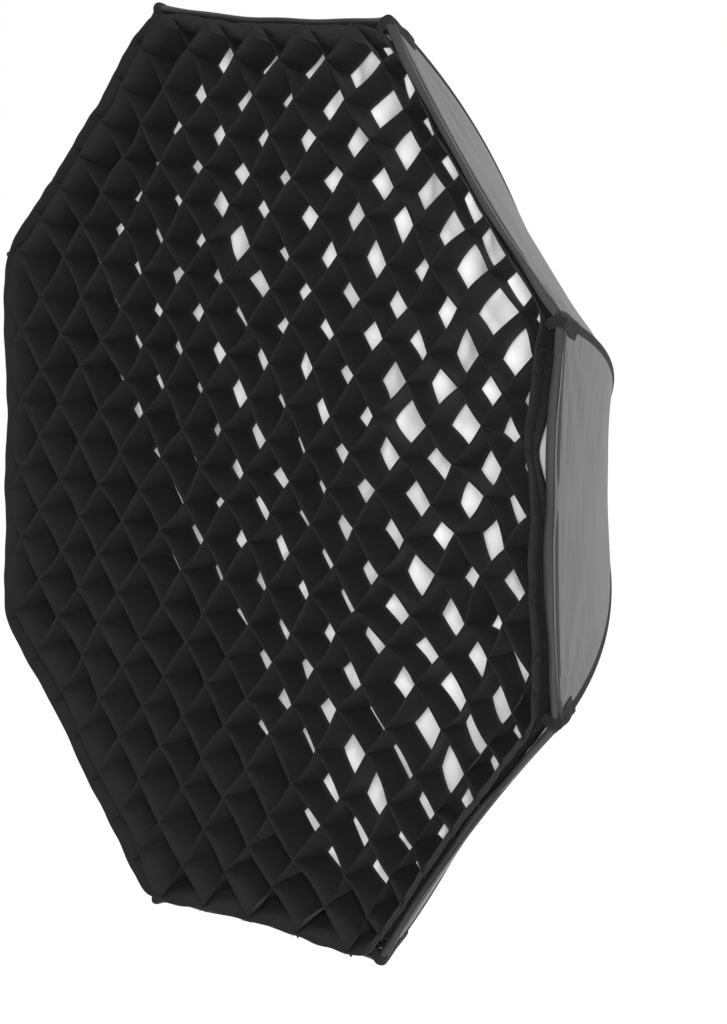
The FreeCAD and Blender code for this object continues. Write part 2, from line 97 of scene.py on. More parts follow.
GORE_THICK = 0.0007
SLEEVE_THICK = 0.0008
POCKET_THICK = 0.0010
LIP_THICK = 0.0008
BINDING_THICK = 0.0007
TAB_THICK = 0.0011
KEEPER_THICK = 0.0006
BAFFLE_THICK = 0.0003
BAFFLE_EDGE_THICK = 0.0004
STRAP_THICK = 0.0010
WEB_THICK = 0.00045
HEM_THICK = 0.0013
HOOK_TAPE_THICK = 0.0011
TAPE_THICK = 0.0012
DIFFUSER_THICK = 0.0003
OUTWARDS, BOTH_WAYS = 1.0, 0.0  # where a sheet's thickness goes from its points


# -------------------- small tools


def smooth(value, start, end):
    """0 before start and 1 after end, with a soft step between."""
    t = np.clip((value - start) / (end - start), 0, 1)
    return t * t * (3 - 2 * t)


def waves(x, y, seed, size):
    """Smooth unevenness, about -1 to 1, from a few crossed sine waves of about one length."""
    total = 0.0
    for k in range(5):
        angle = seed * 1.7 + k * 2.4
        length = size * (0.75 + 0.17 * k)
        along = x * math.cos(angle) + y * math.sin(angle)
        total = total + np.sin(2 * math.pi * along / length + seed * 3.1 + k * 1.9)
    return total / 2.6


def chance(*numbers):
    """A steady pseudo-random number, 0 to 1, for each set of whole numbers."""
    mixed = sum(np.asarray(n, float) * k for n, k in zip(numbers, (12.9898, 78.233, 37.719, 4.581)))
    return np.modf(np.abs(np.sin(mixed) * 43758.5453))[0]


def polar(radius, y, angle, across=0.0):
    """A point at a radius and a place along Y, turned round the axis, and moved across square to it."""
    radius, y, across = np.broadcast_arrays(radius, y, across)
    x = radius * np.cos(angle) - across * np.sin(angle)
    z = radius * np.sin(angle) + across * np.cos(angle)
    return np.stack([x, y, z], -1)


def lengths(points, axis):
    """Distance travelled along one way of a grid of points, averaged over the other way."""
    steps = np.linalg.norm(np.diff(points, axis=axis), axis=-1).mean(axis=1 - axis)
    return np.concatenate([[0.0], np.cumsum(steps)])


def mesh_object(name, vertices, faces, material, weave=None):
    """A smooth mesh in the scene; weave is the place of each vertex on its cloth."""
    mesh = bpy.data.meshes.new(name)
    mesh.from_pydata([tuple(v) for v in vertices], [], faces)
    mesh.validate()
    if weave is not None:
        attribute = mesh.attributes.new("weave", "FLOAT_VECTOR", "POINT")
        attribute.data.foreach_set("vector", np.asarray(weave, np.float32).ravel())
    mesh.shade_smooth()
    mesh.materials.append(material)
    obj = bpy.data.objects.new(name, mesh)
    bpy.context.scene.collection.objects.link(obj)
    return obj


def quads(rows, columns, closed=False, start=0):
    """Faces of a grid of rows by columns of vertices; closed joins the last row to the first."""
    made = []
    for i in range(rows if closed else rows - 1):
        a, b = start + i * columns, start + (i + 1) % rows * columns
        made += [(a + j, b + j, b + j + 1, a + j + 1) for j in range(columns - 1)]
    return made


def cloth_object(name, sheets, material, closed=False):
    """One object from grids of points, with the distance along each grid kept for its weave."""
    vertices, faces, weave = [], [], []
    for points in sheets:
        rows, columns = points.shape[:2]
        faces += quads(rows, columns, closed, len(vertices))
        along, across = np.meshgrid(lengths(points, 0), lengths(points, 1), indexing="ij")
        vertices += list(points.reshape(-1, 3))
        weave += list(np.stack([along, across, 0 * along], -1).reshape(-1, 3))
    return mesh_object(name, vertices, faces, material, weave)


def thicken(obj, thickness, way, lining=None):
    """Gives a sheet its thickness; a lining is the material of its other face."""
    modifier = obj.modifiers.new("thickness", "SOLIDIFY")
    modifier.thickness = thickness
    modifier.offset = way
    modifier.use_quality_normals = True
    if lining:
        obj.data.materials.append(lining)
        modifier.material_offset = 1


def place(obj, body, slot, *nodes):
    """Rides a piece on its body and hides the CAD nodes it stands for; slot is not used."""
    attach(obj, body)
    if nodes:
        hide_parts(*nodes)
    return obj


# -------------------- materials


class Shader:
    """A Principled material whose nodes are added one short call at a time."""

    def __init__(self, name, roughness, sheen=0.0, metallic=0.0, specular=0.5):
        self.material = bpy.data.materials.new(name)
        self.material.use_nodes = True
        self.tree = self.material.node_tree
        self.shader = self.tree.nodes["Principled BSDF"]
        self.shader.inputs["Roughness"].default_value = roughness
        self.shader.inputs["Sheen Weight"].default_value = sheen
        self.shader.inputs["Sheen Roughness"].default_value = 0.45
        self.shader.inputs["Metallic"].default_value = metallic
        self.shader.inputs["Specular IOR Level"].default_value = specular
        self.normal = None

    def node(self, kind, **values):
        node = self.tree.nodes.new(kind)
        for key, value in values.items():
            if isinstance(value, bpy.types.NodeSocket):
                self.tree.links.new(value, node.inputs[key])
            elif key in node.inputs:
                node.inputs[key].default_value = value
            else:
                setattr(node, key, value)
        return node

    def math(self, operation, first, second=0.0):
        node = self.node("ShaderNodeMath", operation=operation)
        for socket, value in zip(node.inputs, (first, second)):
            if isinstance(value, bpy.types.NodeSocket):
                self.tree.links.new(value, socket)
            else:
                socket.default_value = value
        return node.outputs[0]

    def place(self, scale, weave=False):
        """Coordinates in metres times a scale: on the cloth, or in the row frame."""
        if weave:
            source = self.node("ShaderNodeAttribute", attribute_name="weave").outputs["Vector"]
        else:
            source = self.node("ShaderNodeTexCoord").outputs["Object"]
        mapping = self.node("ShaderNodeMapping", Vector=source)
        mapping.inputs["Scale"].default_value = scale if hasattr(scale, "__len__") else (scale,) * 3
        return mapping.outputs[0]

    def noise(self, scale, detail=4.0, weave=False):
        place = self.place(scale, weave)
        return self.node("ShaderNodeTexNoise", Vector=place, Scale=1.0, Detail=detail).outputs["Fac"]

    def threads(self, pitch):
        """Height of a plain weave: warp over weft over warp, one thread a pitch."""
        split = self.node("ShaderNodeSeparateXYZ", Vector=self.place(math.pi / pitch, True))
        warp = self.math("ABSOLUTE", self.math("SINE", split.outputs[0]))
        weft = self.math("ABSOLUTE", self.math("SINE", split.outputs[1]))
        return self.math("MAXIMUM", self.math("MULTIPLY", warp, 0.9), weft)

    def ribs(self, pitch):
        """Height of ribs that lie across the cloth's length."""
        split = self.node("ShaderNodeSeparateXYZ", Vector=self.place(2 * math.pi / pitch, True))
        return self.math("SINE", split.outputs[0])

    def bump(self, height, strength, distance):
        values = {"Height": height, "Strength": strength, "Distance": distance}
        if self.normal is not None:
            values["Normal"] = self.normal
        self.normal = self.node("ShaderNodeBump", **values).outputs[0]
        self.tree.links.new(self.normal, self.shader.inputs["Normal"])

    def ramp(self, factor, *stops):
        node = self.node("ShaderNodeValToRGB", Fac=factor)
        ramp = node.color_ramp
        while len(ramp.elements) < len(stops):
            ramp.elements.new(0.5)
        for element, (position, color) in zip(ramp.elements, stops):
            element.position = position
            element.color = (*color, 1) if hasattr(color, "__len__") else (color, color, color, 1)
        return node.outputs[0]

    def paint(self, color):
        self.tree.links.new(color, self.shader.inputs["Base Color"])

    def polish(self, factor, low, high):
        node = self.node("ShaderNodeMapRange", Value=factor)
        node.inputs["To Min"].default_value = low
        node.inputs["To Max"].default_value = high
        self.tree.links.new(node.outputs[0], self.shader.inputs["Roughness"])


def woven(name, dark, light, pitch, roughness, specular, streaks=0.0, depth=0.00006):
    """Plain-woven cloth: threads, streaks along them and broad uneven tone."""
    made = Shader(name, roughness, 0.03, specular=specular)
    threads = made.threads(pitch)
    cloud = made.noise(9.0)
    streak = made.ramp(made.noise((14.0, 300.0, 1.0), 3.0, True), (0.38, 0.0), (0.62, 1.0))
    tone = made.math("ADD", made.math("MULTIPLY", threads, 0.45), made.math("MULTIPLY", cloud, 0.45))
    tone = made.math("ADD", tone, made.math("MULTIPLY", streak, streaks))
    made.paint(made.ramp(tone, (0.25, dark), (0.75 + 0.4 * streaks, light)))
    made.polish(cloud, roughness - 0.06, roughness + 0.08)
    made.bump(threads, 0.5, depth)
    made.bump(made.noise(45.0, 3.0), 0.25, 0.0006)
    return made.material


def webbing_material(name, dark, light, rib):
    """Heavy tape with ribs across it and fine threads between them."""
    made = Shader(name, 0.66, 0.01, specular=0.10)
    ribs = made.ribs(rib)
    threads = made.threads(0.0009)
    cloud = made.math("MULTIPLY", made.noise(60.0), 0.8)
    tone = made.math("ADD", made.math("MULTIPLY", ribs, 0.25), cloud)
    made.paint(made.ramp(tone, (0.2, dark), (0.8, light)))
    made.bump(ribs, 0.45, 0.0003)
    made.bump(threads, 0.4, 0.0001)
    return made.material


def pile_material(name, dark, light, pitch, strength):
    """Hook or loop tape: a field of small tufts on a ground."""
    made = Shader(name, 0.85, 0.05, specular=0.12)
    dots = made.node("ShaderNodeTexVoronoi", Vector=made.place(1 / pitch, True), Scale=1.0)
    height = made.math("SUBTRACT", 1.0, dots.outputs["Distance"])
    made.paint(made.ramp(height, (0.3, dark), (0.95, light)))
    made.bump(height, strength, 0.0005)
    return made.material


def hard_material(name, color, roughness, metallic, grain, grain_strength):
    """Metal, plastic, rubber or thread: fine grain, with wear that changes its tone and its polish."""
    made = Shader(name, roughness, metallic=metallic)
    fine = made.noise(grain, 3.0)
    wear = made.noise(38.0, 6.0)
    dark = tuple(c * 0.82 for c in color)
    made.paint(made.ramp(wear, (0.3, dark), (0.7, color)))
    made.polish(wear, roughness - 0.08, roughness + 0.14)
    made.bump(fine, grain_strength, 0.0002)
    return made.material


# Darkest and lightest tone, pitch of the threads, roughness, specular, streaks, depth of the threads
NYLON = woven("black_nylon", 0.018, 0.074, 0.00042, 0.50, 0.26, 0.75)
# The lip's black nylon is a copy of the canopy's with its tones set lower: the extra darkness is painted
# shade for the shade the lip lies in from below
LIP_NYLON_PAINTED_SHADE = woven("lip_nylon_darkened_painted_shade", 0.012, 0.026, 0.00042, 0.50, 0.15, 0.30)
LINING = woven("white_lining", 0.62, 0.80, 0.00045, 0.55, 0.30)
GRID_CLOTH = woven("grid_polyester", 0.0074, 0.0112, 0.00055, 0.75, 0.10, 0.1)
DIFFUSER_CLOTH = woven("white_diffuser", 0.86, 0.93, 0.00040, 0.70, 0.20, 0.1, 0.00003)
# Darkest and lightest tone, pitch of the ribs
WEBBING = webbing_material("black_webbing", 0.006, 0.012, 0.0016)
ELASTIC = webbing_material("white_elastic", 0.55, 0.78, 0.0024)
# Darkest and lightest tone, pitch of the tufts, how strongly they stand out
HOOK = pile_material("hook_tape", 0.004, 0.018, 0.0013, 0.9)
LOOP = pile_material("loop_tape", 0.005, 0.020, 0.0009, 0.6)
# Colour, roughness, metallic, scale of the grain and its strength
THREAD = hard_material("black_thread", (0.020, 0.020, 0.021), 0.6, 0.0, 3000.0, 0.3)
POWDER_COAT = hard_material("black_powder_coat", (0.022, 0.022, 0.024), 0.48, 0.0, 1500.0, 0.35)
STEEL = hard_material("spring_steel", (0.52, 0.53, 0.55), 0.34, 1.0, 420.0, 0.12)
ZINC = hard_material("zinc_plate", (0.60, 0.60, 0.62), 0.30, 1.0, 600.0, 0.10)
SATIN = hard_material("satin_steel", (0.62, 0.63, 0.65), 0.38, 1.0, 800.0, 0.15)
PLASTIC = hard_material("black_plastic", (0.020, 0.020, 0.021), 0.42, 0.0, 1100.0, 0.20)
RUBBER = hard_material("black_rubber", (0.014, 0.014, 0.014), 0.75, 0.0, 700.0, 0.30)
PALE_NYLON = hard_material("pale_nylon", (0.70, 0.69, 0.66), 0.45, 0.0, 500.0, 0.15)
CAD_FINISHES = {
    "rod_steel": STEEL,
    "screw_steel": ZINC,
    "insert_steel": SATIN,
    "ring_paint": POWDER_COAT,
    "black_plastic": PLASTIC,
    "rubber_cap": RUBBER,
    "pad_nylon": PALE_NYLON,
}


# -------------------- building bands, strips and stitches


def declare(obj, flat):
    """Works out a stretched sheet's flat area: its middle surface's, or the flat size's if less; the area
    is not used further.
    """
    depsgraph = bpy.context.evaluated_depsgraph_get()
    mesh = obj.evaluated_get(depsgraph).to_mesh()
    area = sum(face.area for face in mesh.polygons)
    closed = any(modifier.type == "SOLIDIFY" for modifier in obj.modifiers)
    area = min(area / (2 if closed else 1), flat[0] * flat[1])


def round_band(profile, count=40):
    """A closed band round all sides; profile gives apothems and Y for a side and places across it."""
    rows = []
    for side in range(SIDES):
        across = np.linspace(-1, 1, count, endpoint=False)[:, None]
        apothem, y = profile(side, across)
        rows.append(polar(apothem, y, side * TURN, across * apothem * math.tan(HALF)))
    return np.concatenate(rows)


def soften_corners(points, limit, width=0.004):
    """Rounds the corners of an octagon of points so that none lies further out than the limit."""
    radius = np.hypot(points[..., 0], points[..., 2])
    shorter = radius - width * np.log1p(np.exp(np.clip((radius - limit) / width, -40, 40)))
    scale = shorter / np.maximum(radius, 1e-6)
    return points * np.stack([scale, np.ones_like(scale), scale], -1)


def ridge_strip(ridge, line, half_width, raised, count=17):
    """Points of a strip folded over a ridge, along a line of (radius, Y) points."""
    line = np.asarray(line, float)
    step = np.gradient(line, axis=0)
    step /= np.linalg.norm(step, axis=1)[:, None]
    out = np.stack([-step[:, 1], step[:, 0]], -1)
    across = np.linspace(-1, 1, count)[None, :]
    half_width = np.broadcast_to(np.asarray(half_width, float), (len(line),))[:, None]
    fold = np.sqrt(across**2 + 0.02) - math.sqrt(0.02)
    drop = half_width * fold * (math.sin(HALF) + 2 * SIDE_SAG)
    height = raised(across) - drop
    radius = line[:, :1] + out[:, :1] * height
    y = line[:, 1:] + out[:, 1:] * height
    return polar(radius, y, (ridge + 0.5) * TURN, across * half_width * math.cos(HALF))


def ridge_line(start, end, height, count=96):
    """(radius, Y) points along a ridge between two angles, from the rear to the front."""
    angle = np.linspace(start, end, count)
    reach = RIDGE_BEND + height
    return np.stack([BEND_R + reach * np.cos(angle), BEND_Y + reach * np.sin(angle)], -1)


def resample(points, spacing):
    """Points at an even spacing along a line."""
    travelled = np.concatenate([[0.0], np.cumsum(np.linalg.norm(np.diff(points, axis=0), axis=1))])
    places = np.arange(spacing / 2, travelled[-1], spacing)
    return np.stack([np.interp(places, travelled, points[:, k]) for k in range(3)], -1)


def stitches(name, lines, body, slot, length=0.0026, spacing=0.0038, thick=0.00042):
    """Rows of thread stitches: each line is its points and the direction that faces out."""
    vertices, faces = [], []
    for points, facing in lines:
        centres = resample(points, spacing)
        ahead = np.gradient(centres, axis=0)
        ahead /= np.linalg.norm(ahead, axis=1)[:, None]
        out = np.broadcast_to(facing, centres.shape)
        side = np.cross(ahead, out)
        side /= np.linalg.norm(side, axis=1)[:, None]
        out = np.cross(side, ahead)
        for k in range(len(centres)):
            start = len(vertices)
            middle = centres[k] + out[k] * thick * 0.25
            vertices += [middle - ahead[k] * length / 2, middle + ahead[k] * length / 2]
            for sideways, outwards in ((1, 0), (0, 1), (-1, 0), (0, -1)):
                vertices.append(middle + thick * (sideways * side[k] + outwards * out[k]))
            for n in range(4):
                a, b = start + 2 + n, start + 2 + (n + 1) % 4
                faces += [(start, b, a), (start + 1, a, b)]
    place(mesh_object(name, vertices, faces, THREAD), body, slot)


def side_out(side, slope=0.0):
    """Unit direction that faces out from a side, leaning towards the rear by a slope."""
    direction = np.array([math.cos(side * TURN), slope, math.sin(side * TURN)])
    return direction / np.linalg.norm(direction)


# -------------------- canopy


def sag(across, half_width, share=SIDE_SAG):
    """How far inwards a side hangs, most at its middle."""
    return share * half_width * (1 - across**2)


def side_surface(side, across, angle, height=0.0):
    """Points on a side's outer face: across runs -1 to 1 between its ridges, angle follows their bend."""
    radius = BEND_R + RIDGE_BEND * np.cos(angle)
    y = BEND_Y + RIDGE_BEND * np.sin(angle)
    half_width = radius * math.sin(HALF)
    lift = height - sag(across, half_width)
    apothem = radius * math.cos(HALF) + lift * np.cos(angle)
    return polar(apothem, y + lift * np.sin(angle), side * TURN, across * half_width)


def gore_creases(side, across, angle):
    """Pull lines that fan out of the front corners, broad waves, and pleats round the speed ring."""
    wave_height, fan_height, pleat_height = 0.0009, 0.0016, 0.0014
    fan_reach, pleat_reach = 0.08, 0.045
    front = (angle - TIP_ANGLE) * RIDGE_BEND
    rear = (REAR_ANGLE - angle) * RIDGE_BEND
    radius = BEND_R + RIDGE_BEND * np.cos(angle)
    half_width = radius * math.sin(HALF)
    height = wave_height * waves(across * half_width, front, side, 0.13)
    for corner in (-1, 1):
        edge = (1 - corner * across) * half_width
        reach = np.hypot(edge, front)
        fan = np.arctan2(front, edge)
        pull = np.sin(fan * 13 + side * 2 + corner)
        height = height + fan_height * np.exp(-reach / fan_reach) * pull * smooth(reach, 0.0, 0.03)
    deepest = -0.0003 - 0.0040 * smooth(front, 0.05, 0.10)  # the tapes lie close inside the front
    height = np.maximum(height, deepest)
    pleats = np.sin(across * 11 + side) * np.exp(-rear / pleat_reach)
    clear = smooth(1 - np.abs(across), 0.06, 0.17) * smooth(rear, 0.013, 0.036)
    return (height + pleat_height * pleats) * clear


def canopy_gore(side):
    places = np.linspace(-1, 1, 65), np.linspace(REAR_ANGLE, TIP_ANGLE, 101)
    across, angle = np.meshgrid(*places, indexing="ij")
    points = side_surface(side, across, angle, gore_creases(side, across, angle))
    obj = cloth_object(f"gore_{side + 1}", [points], NYLON)
    thicken(obj, GORE_THICK, OUTWARDS, LINING)
    place(obj, "softbox", "canopy_nylon", f"canopy_gore_{side + 1}")
    declare(obj, (2 * TIP_RADIUS * math.sin(HALF), RIDGE_LENGTH))


def sleeve_height(across):
    """A sewn tape that rides up over the rod under it."""
    rod = 0.0013 * np.exp(-((across / 0.36) ** 2))
    groove = 0.0005 * np.exp(-(((np.abs(across) - 0.66) / 0.09) ** 2))
    return rod - groove


def ridge_tape(ridge):
    """The sleeve sewn along a ridge; returns the lines of its two rows of stitches."""
    half_width = 0.0118
    line = ridge_line(REAR_ANGLE - 0.012, TIP_ANGLE, height=0.0006)
    points = ridge_strip(ridge, line, half_width, sleeve_height, count=33)
    obj = cloth_object(f"ridge_sleeve_{ridge + 1}", [points], WEBBING)
    thicken(obj, SLEEVE_THICK, OUTWARDS)
    place(obj, "softbox", "webbing", f"ridge_tape_{ridge + 1}")
    declare(obj, (SLEEVE_WIDTH, RIDGE_LENGTH))
    out = polar(1.0, -0.6, (ridge + 0.5) * TURN)
    return [(points[:, column], out) for column in (5, -6)]


def pocket_height(across):
    """A patch that rides up over the rod's tip."""
    return 0.0018 * np.exp(-((across / 0.5) ** 2))


def corner_pocket(ridge):
    """The patch over the rod's tip: it runs on past the tip and turns in over the lip's corner."""
    overlap, nub, turned = 0.040, 0.0066, math.radians(118)
    back = ridge_line(TIP_ANGLE + overlap / RIDGE_BEND, TIP_ANGLE, height=0.0019, count=24)
    tip = back[-1]
    turn = np.linspace(0, 1, 22)[1:, None]
    swing = TIP_ANGLE - turn * turned
    centre = tip - nub * np.array([math.cos(TIP_ANGLE), math.sin(TIP_ANGLE)])
    round_it = centre + nub * np.concatenate([np.cos(swing), np.sin(swing)], -1)
    ahead = round_it[-1] - round_it[-2]
    ahead /= np.linalg.norm(ahead)
    tongue = round_it[-1] + ahead * np.linspace(0.001, 0.011, 8)[:, None]
    line = np.concatenate([back, round_it, tongue])
    share = np.linspace(0, 1, len(line))
    half_width = 0.0140 - 0.0065 * smooth(share, 0.15, 0.60) - 0.0020 * smooth(share, 0.8, 1.0)
    points = ridge_strip(ridge, line, half_width, pocket_height, count=25)
    knots = 0.0007 * waves(points[..., 1], points[..., 2] + points[..., 0], ridge + 3, 0.021)
    points = points + knots[..., None] * polar(1.0, 0.0, (ridge + 0.5) * TURN)
    obj = cloth_object(f"tip_pocket_{ridge + 1}", [points], WEBBING)
    thicken(obj, POCKET_THICK, OUTWARDS)
    place(obj, "softbox", "webbing", f"corner_pocket_{ridge + 1}")
    declare(obj, POCKET_FLAT)
    out = polar(1.0, -0.6, (ridge + 0.5) * TURN)
    return [(points[:, 2], out), (points[:, -3], out), (points[2], out)]


sleeve_lines, pocket_lines = [], []
for index in range(SIDES):
    canopy_gore(index)
    sleeve_lines += ridge_tape(index)
    pocket_lines += corner_pocket(index)
stitches("sleeve_stitches", sleeve_lines, "softbox", "webbing")
stitches("pocket_stitches", pocket_lines, "softbox", "webbing")


# -------------------- lip and rear binding

LIP_COUNT = 64  # places across a side
LIP_SECTION = (  # apothem and Y from the tip's: overlap, two seams, rolled edge, turned back
    (0.0006, 0.0060), (0.0012, 0.0044), (0.0013, 0.0030), (0.0003, 0.0022), (0.0012, 0.0014),
    (0.0013, -0.0006), (0.0002, -0.0014), (0.0011, -0.0022), (0.0010, -0.0050), (0.0006, -0.0078),
    (-0.0002, -0.0097), (-0.0014, -0.0105), (-0.0028, -0.0098), (-0.0034, -0.0078), (-0.0030, -0.0040),
    (-0.0030, 0.0000), (-0.0032, 0.0060),
)
LIP_HEIGHT = (0.62, 0.60, 0.60, 0.70, 0.70, 0.70, 0.50, 0.45)  # share of that Y in front, by side
CORNER_HEIGHT = 0.62  # the same share at every corner


def lip_profile(side, across):
    out, rear = np.array(LIP_SECTION).T[:, None, :]
    half_width = TIP_APOTHEM * math.tan(HALF)
    slope = math.cos(TIP_ANGLE) / math.sin(TIP_ANGLE)
    ripple = waves(across * half_width, 0.0, side + 5, 0.11)
    edge = smooth(1 - np.abs(across), 0.0, 0.12)
    inward = sag(across, half_width, LIP_SAG)
    ahead = np.clip(-rear / 0.010, 0, 1)
    height = CORNER_HEIGHT + (LIP_HEIGHT[side] - CORNER_HEIGHT) * edge
    pulled = 0.0050 * (1 - across**2) * math.cos(2 * side * TURN + 0.3)
    apothem = TIP_APOTHEM + out - inward + (0.0012 * ripple * edge - pulled) * ahead
    apothem = apothem - np.clip(rear, 0, 1) / slope
    y = TIP_Y + rear * np.where(rear < 0, height, 1.0)
    y = y + 0.0009 * waves(across * half_width, 0.02, side, 0.09) * edge * ahead
    return apothem, y


def lip():
    """The band round the front edge, with two rows of stitches along every side."""
    points = round_band(lip_profile, LIP_COUNT)
    # The lip is made of the nylon darkened with painted shade
    obj = cloth_object("lip_band", [points], LIP_NYLON_PAINTED_SHADE, closed=True)
    thicken(obj, LIP_THICK, OUTWARDS)
    place(obj, "softbox", "lip_nylon", "front_lip")
    declare(obj, LIP_FLAT)
    lines = []
    for side in range(SIDES):
        rows = points[side * LIP_COUNT + 4:(side + 1) * LIP_COUNT - 3]
        lines += [(rows[:, column], side_out(side, -0.2)) for column in (3, 6)]
    stitches("lip_stitches", lines, "softbox", "lip_nylon")


BINDING_COUNT = 24  # places across a side
BINDING_SECTION = (  # angle forward of the rear edge, height over the canopy's outer face
    (0.0125, 0.0008), (0.0110, 0.0013), (0.0060, 0.0015), (0.0020, 0.0014), (0.0000, 0.0012),
    (0.0000, 0.0003), (-0.0002, -0.0006), (0.0000, -0.0013), (0.0030, -0.0018), (0.0090, -0.0018),
    (0.0125, -0.0013),
)


def binding_profile(side, across):
    """The canopy's rear edge: a tape folded over it, standing a little proud on both faces."""
    forward, height = np.array(BINDING_SECTION).T
    angle = REAR_ANGLE - forward
    radius = BEND_R + RIDGE_BEND * np.cos(angle)
    half_width = radius * math.sin(HALF)
    lift = height[None, :] - sag(across, half_width[None, :])
    uneven = 0.0005 * waves(across * 0.04, 0.0, side + 2, 0.035)
    lift = lift + uneven * smooth(1 - np.abs(across), 0, 0.2)
    apothem = radius * math.cos(HALF) + lift * np.cos(angle)
    y = BEND_Y + RIDGE_BEND * np.sin(angle) + lift * np.sin(angle)
    return apothem, y


def rear_binding():
    """The tape that binds the canopy's rear edge, with a row of stitches."""
    points = round_band(binding_profile, BINDING_COUNT)
    obj = cloth_object("rear_edge_tape", [points], WEBBING, closed=True)
    thicken(obj, BINDING_THICK, OUTWARDS)
    place(obj, "softbox", "webbing", "rear_binding")
    declare(obj, BINDING_FLAT)
    lines = []
    for side in range(SIDES):
        rows = points[side * BINDING_COUNT:(side + 1) * BINDING_COUNT]
        lines.append((rows[:, 2], side_out(side, 0.6)))
    stitches("rear_stitches", lines, "softbox", "webbing")


lip()
rear_binding()


# -------------------- tabs, keepers and the inner baffle


def ring_tabs():
    """Tabs that close the gap between the speed ring and the canopy's rear edge, and sag a little."""
    start, end, half_width = 0.0695, 0.0975, 0.0176
    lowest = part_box("ring_tabs")[0].y - 0.002
    path = np.array((  # apothem, Y, and nothing across
        (start, RING_Y - 0.0006, 0),
        (0.0765, RING_Y - 0.0006, 0),
        (0.079, RING_Y - 0.0012, 0),
        (end, REAR_Y - 0.0016, 0),
    ))
    path = resample(path, 0.0015)
    apothem, across = np.meshgrid(path[:, 0], np.linspace(-1, 1, 13), indexing="ij")
    share = (apothem - start) / (end - start)
    y = path[:, 1:2] - 0.0010 * np.sin(share * math.pi) * (1 - across**2)
    width = half_width * (1 - 0.1 * smooth(-share, -0.15, 0))
    ahead = np.array([0.0, -1.0, 0.0])
    sheets, lines = [], []
    for side in range(SIDES):
        points = polar(apothem, np.maximum(y, lowest), side * TURN, across * width)
        sheets.append(points)
        lines += [(points[:, 1], ahead), (points[:, -2], ahead)]
    obj = cloth_object("tabs", sheets, NYLON)
    thicken(obj, TAB_THICK, BOTH_WAYS)
    place(obj, "softbox", "canopy_nylon", "ring_tabs")
    declare(obj, (TAB_FLAT[0], SIDES * TAB_FLAT[1]))
    stitches("tab_stitches", lines, "softbox", "canopy_nylon",
             length=0.0022, spacing=0.0032, thick=0.0003)


KEEPER_RADII = (0.190, 0.300, 0.420)  # where they sit along every ridge


def rod_keepers():
    """Fabric loops sewn under each ridge and wrapped round the rod."""
    loop, rod_depth, half_length = 0.0034, 0.0054, 0.018
    swing = np.linspace(math.radians(415), math.radians(125), 25)
    across = np.concatenate([[0.0008], loop * np.cos(swing), [-0.0008]])[None, :]
    height = np.concatenate([[0.0050], loop * np.sin(swing), [0.0050]])[None, :]
    along = np.linspace(-1, 1, 20)[:, None]
    flare = 1 + 0.05 * np.cos(along * 9)
    reach = RIDGE_BEND - rod_depth + height * flare
    sheets = []
    for ridge in range(SIDES):
        for radius in KEEPER_RADII:
            angle = math.acos((radius - BEND_R) / RIDGE_BEND) + along * half_length / RIDGE_BEND
            turned = (ridge + 0.5) * TURN
            y = BEND_Y + reach * np.sin(angle)
            sheets.append(polar(BEND_R + reach * np.cos(angle), y, turned, across * flare))
    obj = cloth_object("keeper_loops", sheets, WEBBING)
    thicken(obj, KEEPER_THICK, BOTH_WAYS)
    place(obj, "softbox", "webbing", "rod_keepers")
    declare(obj, (KEEPER_FLAT[0], len(sheets) * KEEPER_FLAT[1]))


def baffle():
    """The inner white panel: an octagon with gathers where the straps pull on its corners."""
    y_face = (BAFFLE_LOW.y + BAFFLE_HIGH.y) / 2
    share = np.linspace(0.0, 1.0, 60)[None, :]
    across = np.linspace(-1, 1, 48, endpoint=False)[:, None]
    reach = share * (BAFFLE_HIGH.x - 0.006 * (1 - across**2))
    corner = np.exp(-(1 - np.abs(across)) / 0.25)
    pull = 0.0022 * corner * np.cos(across * 42) * smooth(share, 0.35, 0.95)
    rows = [
        polar(reach, y_face + pull, side * TURN, across * reach * math.tan(HALF))
        for side in range(SIDES)
    ]
    points = np.concatenate(rows)
    broad = 0.0018 * waves(points[..., 0], points[..., 2], 4, 0.30)
    points[..., 1] += broad * smooth(1 - share, 0.0, 0.25)
    obj = cloth_object("baffle_sheet", [points], DIFFUSER_CLOTH, closed=True)
    thicken(obj, BAFFLE_THICK, BOTH_WAYS)
    place(obj, "softbox", "baffle_cloth", "inner_baffle")
    hem = points[:, -5:] - np.array([0, 0.0005, 0])
    band = np.concatenate([hem, hem[:, ::-1] + np.array([0, 0.0011, 0])], axis=1)
    edge = cloth_object("baffle_edge", [band], WEBBING, closed=True)
    thicken(edge, BAFFLE_EDGE_THICK, BOTH_WAYS)
    place(edge, "softbox", "webbing", "baffle_hem")
    declare(edge, BAFFLE_EDGE_FLAT)
    declare(obj, (BAFFLE_WIDTH, BAFFLE_WIDTH))


def baffle_straps():
    """Elastic straps from the baffle's corners out to the clips, a little narrower half way."""
    low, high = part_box("baffle_straps")
    inner = BAFFLE_HIGH.x / math.cos(HALF) - 0.010
    outer = high.x / math.cos(HALF) + 0.0002
    sheets = []
    for ridge in range(SIDES):
        radius = np.linspace(inner, outer, 30)[:, None]
        across = np.linspace(-1, 1, 11)[None, :]
        neck = 0.0079 * (1 - 0.10 * np.sin((radius - inner) / (outer - inner) * math.pi))
        y = low.y + 0.0006 + 0.0004 * np.sin(radius * 160) + 0 * across
        sheets.append(polar(radius + 0 * across, y, (ridge + 0.5) * TURN, across * neck))
    obj = cloth_object("straps", sheets, ELASTIC)
    thicken(obj, STRAP_THICK, BOTH_WAYS)
    place(obj, "softbox", "elastic", "baffle_straps")
    declare(obj, (STRAP_WIDTH, SIDES * (outer - inner)))


ring_tabs()
rod_keepers()
baffle()
baffle_straps()


# -------------------- grid

